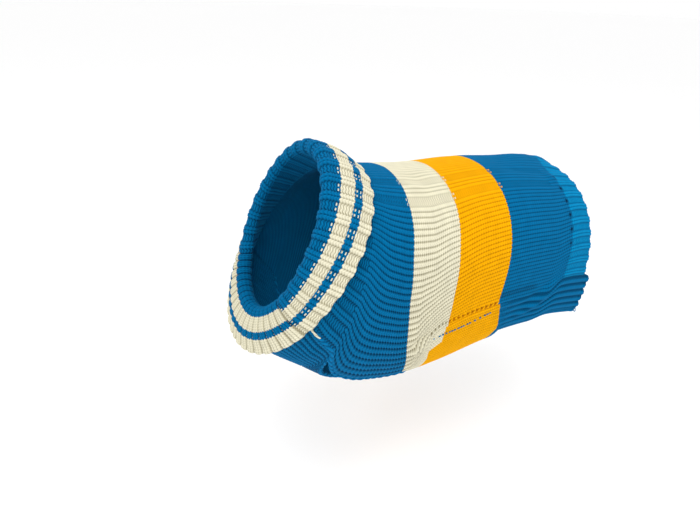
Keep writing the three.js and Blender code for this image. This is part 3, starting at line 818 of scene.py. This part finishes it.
class CollarKnitting(Knitting):
    """One half of the collar."""

    held = "folded"
    fixed_rows = (COLLAR_ROWS[0], COLLAR_ROWS[-1])

    def __init__(self, name, half, surface, wales, yarn):
        self.half = half
        self.flipped = half == "front"
        self.wale_width = WALE_WIDTH if half == "back" else FINE_RIB_WALE_WIDTH
        super().__init__(name, surface, (-wales, wales), self.fixed_rows, yarn)

    def place(self, x, y):
        inset = 1 - SEAM_GAP / body_girths[0]
        along = np.interp(y, COLLAR_ROWS, COLLAR_PLACES)
        rib = wide_rib(x) if self.half == "back" else front_rib(x)
        last = COLLAR_ROWS[-1]
        along = along + COLLAR_SCALLOP * (rib - 1) * ramp(y, last - SCALLOP_ROWS, last)
        pitch = np.full(x.shape, self.wale_width)
        shifted = x if self.half == "back" else x + front_rib_shift(x)
        return shifted / self.wales[1] * inset, along, pitch

    def purl(self, wale, row):
        if self.half == "back":
            return np.isin(wale % WIDE_RIB_WALES, WIDE_PURLS)
        return from_middle(wale) % FRONT_RIB_WALES == 1

    def height(self, x, y):
        is_back = self.half == "back"
        rib, crest = (wide_rib(x), CREST_HEIGHT) if is_back else (front_rib(x), FRONT_CREST_HEIGHT)
        full = ramp(y, *STAND_TOP_ROWS)
        low = STAND_HEIGHT + STAND_RIB * (rib - 0.5)
        roll = is_back * side_roll(x, BACK_WALES)
        rim = end_roll(y, COLLAR_ROWS[-1])
        return low + full * (VALLEY_HEIGHT + (crest - VALLEY_HEIGHT) * rib - low + roll + rim)

    def shade(self, x, y):
        if self.half == "back":
            return COLLAR_RIB_SHADE * wide_rib_sides(x)
        return FRONT_RIB_SHADE * (1 - front_rib(x)) ** 2

    def colour(self, wale, row):
        starts, colours = zip(*COLLAR_STRIPES[self.half])
        stripe = np.searchsorted(starts, row, side="right") - 1
        return np.array(colours)[np.maximum(stripe, 0)]


def from_middle(wale):
    """The number of a wale, counted from the middle of its piece to either side."""
    return np.where(wale < 0, -wale - 1, wale)


def side_roll(x, wales):
    """How a side edge, some wales from the middle of the piece, curls up."""
    return EDGE_ROLL * hump((np.abs(x) - wales + SIDE_ROLL_INSET) / SIDE_ROLL_REACH)


def end_roll(y, last):
    """How the edge at the last row curls up."""
    return EDGE_ROLL * hump((y - last + END_ROLL_INSET) / END_ROLL_REACH)


def wide_rib(x):
    """The share of a wide rib's height: 1 on its two knit wales and 0 on the two purl ones."""
    return np.clip(0.5 + WIDE_RIB_STEEPNESS * np.cos(2 * np.pi * x / WIDE_RIB_WALES), 0, 1)


def wide_rib_sides(x):
    """1 where a wide rib steps down to the valley beside it."""
    return sum(hump((x % WIDE_RIB_WALES - side) / RIB_SIDE_WIDTH) for side in WIDE_RIB_SIDES)


def fine_rib(x):
    """The share of a fine rib's height: 1 on its knit wale and 0 on the purl one."""
    return np.sqrt(0.5 + 0.5 * np.cos(np.pi * (np.abs(x) - 0.5)))


def fine_rib_shift(x):
    """How far a place moves across, in wales, to make the knit wales wide and the purl ones narrow."""
    place = np.abs(x) % FINE_RIB_WALES
    wider = 2 * FINE_KNIT_SHARE - 1
    return np.sign(x) * wider * (1 - np.abs(place - 1)) * (np.abs(x) < BELLY_WALES)


def from_front_purl(x):
    """How many wales a place in the front of the collar is from the middle of the nearest purl wale."""
    return (np.abs(x) + 0.5) % FRONT_RIB_WALES - FRONT_RIB_WALES / 2


def front_rib(x):
    """The share of a front rib's height: 1 on its middle and 0 on the purl wale."""
    return 1 - hump(from_front_purl(x) / FRONT_RIB_ROUNDING)


def front_rib_shift(x):
    """As fine_rib_shift, for the ribs of three knit wales."""
    away = from_front_purl(x)
    from_crest = FRONT_RIB_WALES / 2 - np.abs(away)
    shift = np.minimum(FRONT_PURL_NARROWING * np.abs(away), FRONT_KNIT_WIDENING * from_crest)
    return -np.sign(x) * np.sign(away) * shift * (np.abs(x) < BELLY_WALES)


def knitted_pieces():
    """All the knitting, with the solid that each piece stands for."""
    back, belly = (-BACK_WALES, BACK_WALES), (-BELLY_WALES, BELLY_WALES)
    skirt, right_skirt = SKIRT_WALES, (-SKIRT_WALES[1], -SKIRT_WALES[0])
    row, line = BACK_ROWS, BELLY_ROWS
    return [
        (BackKnitting("back_blue_front", body, back, row[0:2], BLUE), "back_panel"),
        (BackKnitting("back_cream", body, back, row[1:3], CREAM), "back_panel"),
        (BackKnitting("back_yellow", body, back, row[2:4], YELLOW), "back_panel"),
        (BackKnitting("back_blue_rear", body, back, row[3:5], BLUE), "back_panel"),
        (BackKnitting("hem_rear", body, back, row[4:6], LIT_HEM_BLUE), "hem_back"),
        (BellyKnitting("belly_blue_front", body, belly, line[0:2], BLUE), "belly_panel"),
        (BellyKnitting("belly_cream", body, belly, line[1:3], CREAM), "belly_panel"),
        (BellyKnitting("belly_yellow", body, belly, line[2:4], YELLOW), "belly_panel"),
        (BellyKnitting("belly_blue_rear", body, belly, line[3:5], BLUE), "belly_panel"),
        (BellyKnitting("skirt_left", body, skirt, line[4:6], BLUE), "belly_panel"),
        (BellyKnitting("skirt_right", body, right_skirt, line[4:6], BLUE), "belly_panel"),
        (CollarKnitting("collar_half_back", "back", collar_back, BACK_WALES, CREAM), "collar_back"),
        (CollarKnitting("collar_half_front", "front", collar_front, BELLY_WALES, CREAM), "collar_front"),
    ]


body, body_girths = body_surface()
collar_back = collar_surface(True)
collar_front = collar_surface(False)
edges_at = smooth_table(PANEL_EDGES)
crowding_at = smooth_table(WALE_CROWDING)
back_flow_at = smooth_table(BACK_FLOW)
SHIFT = -body.at(0.0, MOUNT_STATION, -WALL / 2)

# The yarns' colours, and their darkest shade between the stitches. The hem's blue and its shade are the
# panels' blue painted lighter, as painted light on the rear hem.
YARN_COLOURS = {
    BLUE: (0.0, 0.17, 0.40),
    LIT_HEM_BLUE: (0.0, 0.27, 0.56),
    CREAM: (0.86, 0.82, 0.63),
    YELLOW: (0.956, 0.46, 0.0),
}
SHADE_COLOURS = {
    BLUE: (0.0, 0.010, 0.035),
    LIT_HEM_BLUE: (0.0, 0.05, 0.14),
    CREAM: (0.24, 0.21, 0.12),
    YELLOW: (0.40, 0.12, 0.0),
}


def noise(nodes, links, knit, scale):
    """Noise over the knitting's map, at a scale to a wale."""
    pattern = nodes.new("ShaderNodeTexNoise")
    pattern.inputs["Scale"].default_value = scale
    pattern.inputs["Detail"].default_value = 3
    links.new(knit.outputs["UV"], pattern.inputs["Vector"])
    return pattern.outputs["Fac"]


def yarn_material(slot, colour, shade):
    """Soft matt yarn: with painted shade between the stitches, slightly uneven, with fine fibres."""
    material = bpy.data.materials.new(slot)
    material.use_nodes = True
    nodes, links = material.node_tree.nodes, material.node_tree.links
    principled = nodes["Principled BSDF"]
    principled.inputs["Roughness"].default_value = 0.85
    principled.inputs["Specular IOR Level"].default_value = 0.03
    principled.inputs["Sheen Weight"].default_value = 0.02
    principled.inputs["Sheen Roughness"].default_value = 0.5

    # The painted shade: the point attribute that darkens the yarn towards its shade colour.
    painted_shade = nodes.new("ShaderNodeAttribute")
    painted_shade.attribute_name = "shade"
    knit = nodes.new("ShaderNodeUVMap")
    knit.uv_map = "knit"
    mottle = noise(nodes, links, knit, 0.35)
    fibres = noise(nodes, links, knit, 7)

    tint = nodes.new("ShaderNodeMapRange")
    tint.inputs["To Min"].default_value = 0.86
    tint.inputs["To Max"].default_value = 1.12
    links.new(mottle, tint.inputs["Value"])
    base = nodes.new("ShaderNodeMix")
    base.data_type = "RGBA"
    base.inputs["A"].default_value = (*colour, 1)
    base.inputs["B"].default_value = (*shade, 1)
    links.new(painted_shade.outputs["Fac"], base.inputs["Factor"])
    varied = nodes.new("ShaderNodeVectorMath")
    varied.operation = "SCALE"
    links.new(base.outputs["Result"], varied.inputs[0])
    links.new(tint.outputs["Result"], varied.inputs["Scale"])
    links.new(varied.outputs["Vector"], principled.inputs["Base Color"])

    bump = nodes.new("ShaderNodeBump")
    bump.inputs["Strength"].default_value = 0.35
    bump.inputs["Distance"].default_value = 0.0002
    links.new(fibres, bump.inputs["Height"])
    links.new(bump.outputs["Normal"], principled.inputs["Normal"])
    return material


# Rolled edges, seams and loose ends, in millimetres.
ROPE_RADIUS = 2.0
ROPE_SIDES = 12
ROPE_STEP = 0.6
ROPE_TWIST = 2.6
ROPE_STRANDS = 2
ROPE_STRAND_DEPTH = 0.16
ROPE_STRAND_SHADE = 0.6
# The share of a rope's radius at its ends, and a nudge that gives a straight rope a side as well.
ROPE_END_SHARE = 0.35
ROPE_NUDGE = (0.1, 0.2, 0.3)
# The rolled edges of a leg hole: where each starts along the body, how high it lies, and its points.
LEG_EDGE_STARTS = {"back": 0.015, "belly": LEG_HOLE_FRONT}
LEG_EDGE_HEIGHTS = (1.2, 0.3)
LEG_EDGE_POINTS = 90
STITCH_LENGTH = 2.5
STITCH_RADIUS = 1.15
STITCH_HEIGHT = 0.35
STITCH_STEP = 0.3
# The row of stitches beside each flank seam: place along, place round.
SEAM_STITCHES = [(0.400, 0.618), (0.410, 0.617), (0.524, 0.604), (0.624, 0.587), (0.640, 0.584)]
SEAM_POINTS = 60
# Where each stitch starts in that row, in millimetres.
STITCH_STARTS = (
    1.5, 8.4, 12.5, 16.0, 20.0, 23.0, 26.0, 30.3, 33.4, 36.2, 40.6, 43.6, 49.5, 55.6, 61.7, 64.7, 67.7,
)
YARN_RADIUS = 0.5
TAIL_RADIUS = 0.9
# The pale tail under the collar: place round, place along, height. The loop at the rear corner and the
# end at the leg hole: their places, likewise, and their points from there.
TAIL_PLACES = [
    (0.616, 0.000, 3.0), (0.622, 0.010, 4.0), (0.628, 0.022, 4.3), (0.633, 0.034, 4.0),
    (0.638, 0.045, 3.2),
]
LOOP_PLACE = (0.668, 0.995, 1.0)
LOOP_POINTS = [(0, -4, 0), (1.0, 0.5, -1.5), (1.2, 3.0, -3.4), (0.4, 4.6, -1.8), (0, 3.0, 1.0)]
DROP_STATION = 0.128
DROP_HEIGHT = 0.5
DROP_POINTS = [(0, 0, 1), (0.6, 0.4, -1.6), (0.8, 0.2, -4.0), (0.2, -0.6, -5.6)]


def even_line(points, step):
    """The same line with points evenly spaced, about a step apart."""
    run = np.concatenate([[0], np.cumsum(np.linalg.norm(np.diff(points, axis=0), axis=1))])
    places = np.linspace(0, run[-1], max(int(run[-1] / step), 2) + 1)
    line = np.stack([np.interp(places, run, points[:, k]) for k in range(3)], -1)
    return line, places


def rope(name, lines, radius, material):
    """Round ropes of twisted yarn along some lines, thinner towards their ends, as one object."""
    parts = [rope_part(line, radius) for line in lines]
    firsts = np.cumsum([0] + [len(points) for points, _, _, _ in parts])
    faces = [group + first for (_, groups, _, _), first in zip(parts, firsts) for group in groups]
    points, shades, stitch = (np.concatenate([part[k] for part in parts]) for k in (0, 2, 3))
    item = mesh_object(name, points, faces, shades)
    item.data.materials.append(material)
    add_map(item, "knit", stitch[np.concatenate([group.ravel() for group in faces])])
    return item


def rope_part(points, radius):
    """One rope: its points, its groups of faces, its shades, and its places in the yarn's pattern."""
    line, run = even_line(points, min(ROPE_STEP, radius))
    tangent = unit(np.gradient(line, axis=0))
    out = line - line.mean(axis=0)
    side = unit(np.cross(tangent, out + ROPE_NUDGE))
    lift = np.cross(side, tangent)
    angle = 2 * np.pi * np.arange(ROPE_SIDES) / ROPE_SIDES
    phase = ROPE_STRANDS * (angle[None] - run[:, None] / ROPE_TWIST)
    taper = np.clip(np.minimum(run, run[-1] - run) / (2 * radius), 0, 1) ** 0.5
    taper = ROPE_END_SHARE + (1 - ROPE_END_SHARE) * taper[:, None]
    wide = radius * taper * (1 + ROPE_STRAND_DEPTH * np.cos(phase))
    ring = np.cos(angle)[None, :, None] * side[:, None] + np.sin(angle)[None, :, None] * lift[:, None]
    rings = line[:, None] + wide[..., None] * ring
    index = np.arange(phase.size).reshape(phase.shape)
    around = np.roll(index, -1, axis=1)
    quads = np.stack([index[:-1], index[1:], around[1:], around[:-1]], -1).reshape(-1, 4)
    shade = ROPE_STRAND_SHADE * (0.5 - 0.5 * np.cos(phase)) ** 2
    turn = np.broadcast_to(angle / np.pi, phase.shape)
    rows = np.broadcast_to(run[:, None] / ROW_HEIGHT, phase.shape)
    stitch = np.stack([turn.ravel(), rows.ravel()], -1)
    return rings.reshape(-1, 3), [quads, index[:1], index[-1:, ::-1]], shade.ravel(), stitch


def leg_edges(material):
    """Rolled edges round the leg holes, and the seam that runs from each up to the neck."""
    ropes = []
    for side, side_name in ((1, "left"), (-1, "right")):
        for column, (panel, start) in enumerate(LEG_EDGE_STARTS.items()):
            s = np.linspace(start, LEG_HOLE_REAR, LEG_EDGE_POINTS)
            line = body.at(side * edges_at(s)[:, column], s, LEG_EDGE_HEIGHTS[column])
            item = rope(f"leg_edge_{panel}_{side_name}", [line], ROPE_RADIUS, material)
            ropes.append((item, f"{panel}_blue_front"))
    return ropes


def seam_stitches(material):
    """A row of short blue stitches beside each flank seam."""
    rows = []
    s = np.linspace(SEAM_STITCHES[0][0], SEAM_STITCHES[-1][0], SEAM_POINTS)
    across = smooth_table(SEAM_STITCHES)(s)[:, 0]
    for side, side_name in ((1, "left"), (-1, "right")):
        seam = body.at(side * across, s, PLAIN_HEIGHT + STITCH_HEIGHT)
        line, run = even_line(seam, STITCH_STEP)
        stitches = [line[(run >= at) & (run <= at + STITCH_LENGTH)] for at in STITCH_STARTS]
        item = rope(f"seam_stitches_{side_name}", stitches, STITCH_RADIUS, material)
        rows.append((item, "belly_yellow"))
    return rows


def loose_ends(materials):
    """Short ends of yarn left hanging where the seams finish: pale at the collar, blue elsewhere."""
    tail = body.at(*np.array(TAIL_PLACES).T)
    loop = body.at(*LOOP_PLACE) + np.array(LOOP_POINTS)
    drop = body.at(edges_at(DROP_STATION)[1], DROP_STATION, DROP_HEIGHT) + np.array(DROP_POINTS)
    return [
        (rope("yarn_end_collar", [tail], TAIL_RADIUS, materials[CREAM]), "back_blue_front"),
        (rope("yarn_end_rear", [loop], YARN_RADIUS, materials[BLUE]), "skirt_left"),
        (rope("yarn_end_leg", [drop], YARN_RADIUS, materials[BLUE]), "belly_blue_front"),
    ]


yarns = [yarn_material(slot, YARN_COLOURS[i], SHADE_COLOURS[i]) for i, slot in enumerate(SLOTS)]
trims = leg_edges(yarns[BLUE]) + seam_stitches(yarns[BLUE]) + loose_ends(yarns)
for piece, node in knitted_pieces():
    cloth = piece.build(yarns)
    on_it = [item for item, on in trims if on == piece.name]
    piece.flat_size()
    for item in [cloth, *on_it]:
        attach(item, "root")
        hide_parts(node)

# The camera's place, and its directions to the right and up, in metres.
CAMERA_PLACE = (0.4065, -0.3233, 0.1451)
CAMERA_RIGHT = (0.45224, 0.89124, 0.03423)
CAMERA_UP = (-0.41751, 0.17763, 0.89114)
CAMERA_LENS = 26.85
FLOOR_HEIGHT = -0.35491
FLOOR_SIZE = 80
FLOOR_COLOUR = (0.985, 0.985, 0.985)
# The lights: name, place, size and power.
LIGHTS = [("key", (0.6, -0.7, 1.5), 1.2, 12), ("fill", (0.9, 0.9, 0.8), 1.5, 3)]


def add_camera():
    data = bpy.data.cameras.new("camera")
    data.lens = CAMERA_LENS
    data.sensor_width = 36
    data.clip_start = 0.01
    item = bpy.data.objects.new("camera", data)
    right, up = Vector(CAMERA_RIGHT).normalized(), Vector(CAMERA_UP).normalized()
    turn = Matrix((right, up, right.cross(up))).transposed()
    item.matrix_world = Matrix.LocRotScale(Vector(CAMERA_PLACE), turn.to_quaternion(), None)
    bpy.context.scene.collection.objects.link(item)
    bpy.context.scene.camera = item


def plain_material(name, colour):
    material = bpy.data.materials.new(name)
    material.use_nodes = True
    principled = material.node_tree.nodes["Principled BSDF"]
    principled.inputs["Base Color"].default_value = (*colour, 1)
    principled.inputs["Roughness"].default_value = 0.9
    return material


def add_floor():
    bpy.ops.mesh.primitive_plane_add(size=FLOOR_SIZE, location=(0, 0, FLOOR_HEIGHT))
    floor = bpy.context.object
    floor.name = "floor"
    floor.data.materials.append(plain_material("floor", FLOOR_COLOUR))


def add_light(name, place, size, power):
    data = bpy.data.lights.new(name, "AREA")
    data.size = size
    data.energy = power
    item = bpy.data.objects.new(name, data)
    item.location = place
    item.rotation_euler = (-Vector(place)).to_track_quat("-Z", "Y").to_euler()
    bpy.context.scene.collection.objects.link(item)


def add_world():
    world = bpy.data.worlds.new("studio")
    world.use_nodes = True
    background = world.node_tree.nodes["Background"]
    background.inputs["Color"].default_value = (1, 1, 1, 1)
    background.inputs["Strength"].default_value = 1.0
    bpy.context.scene.world = world


add_camera()
add_floor()
add_world()
for light in LIGHTS:
    add_light(*light)
bpy.context.scene.view_settings.view_transform = "Standard"
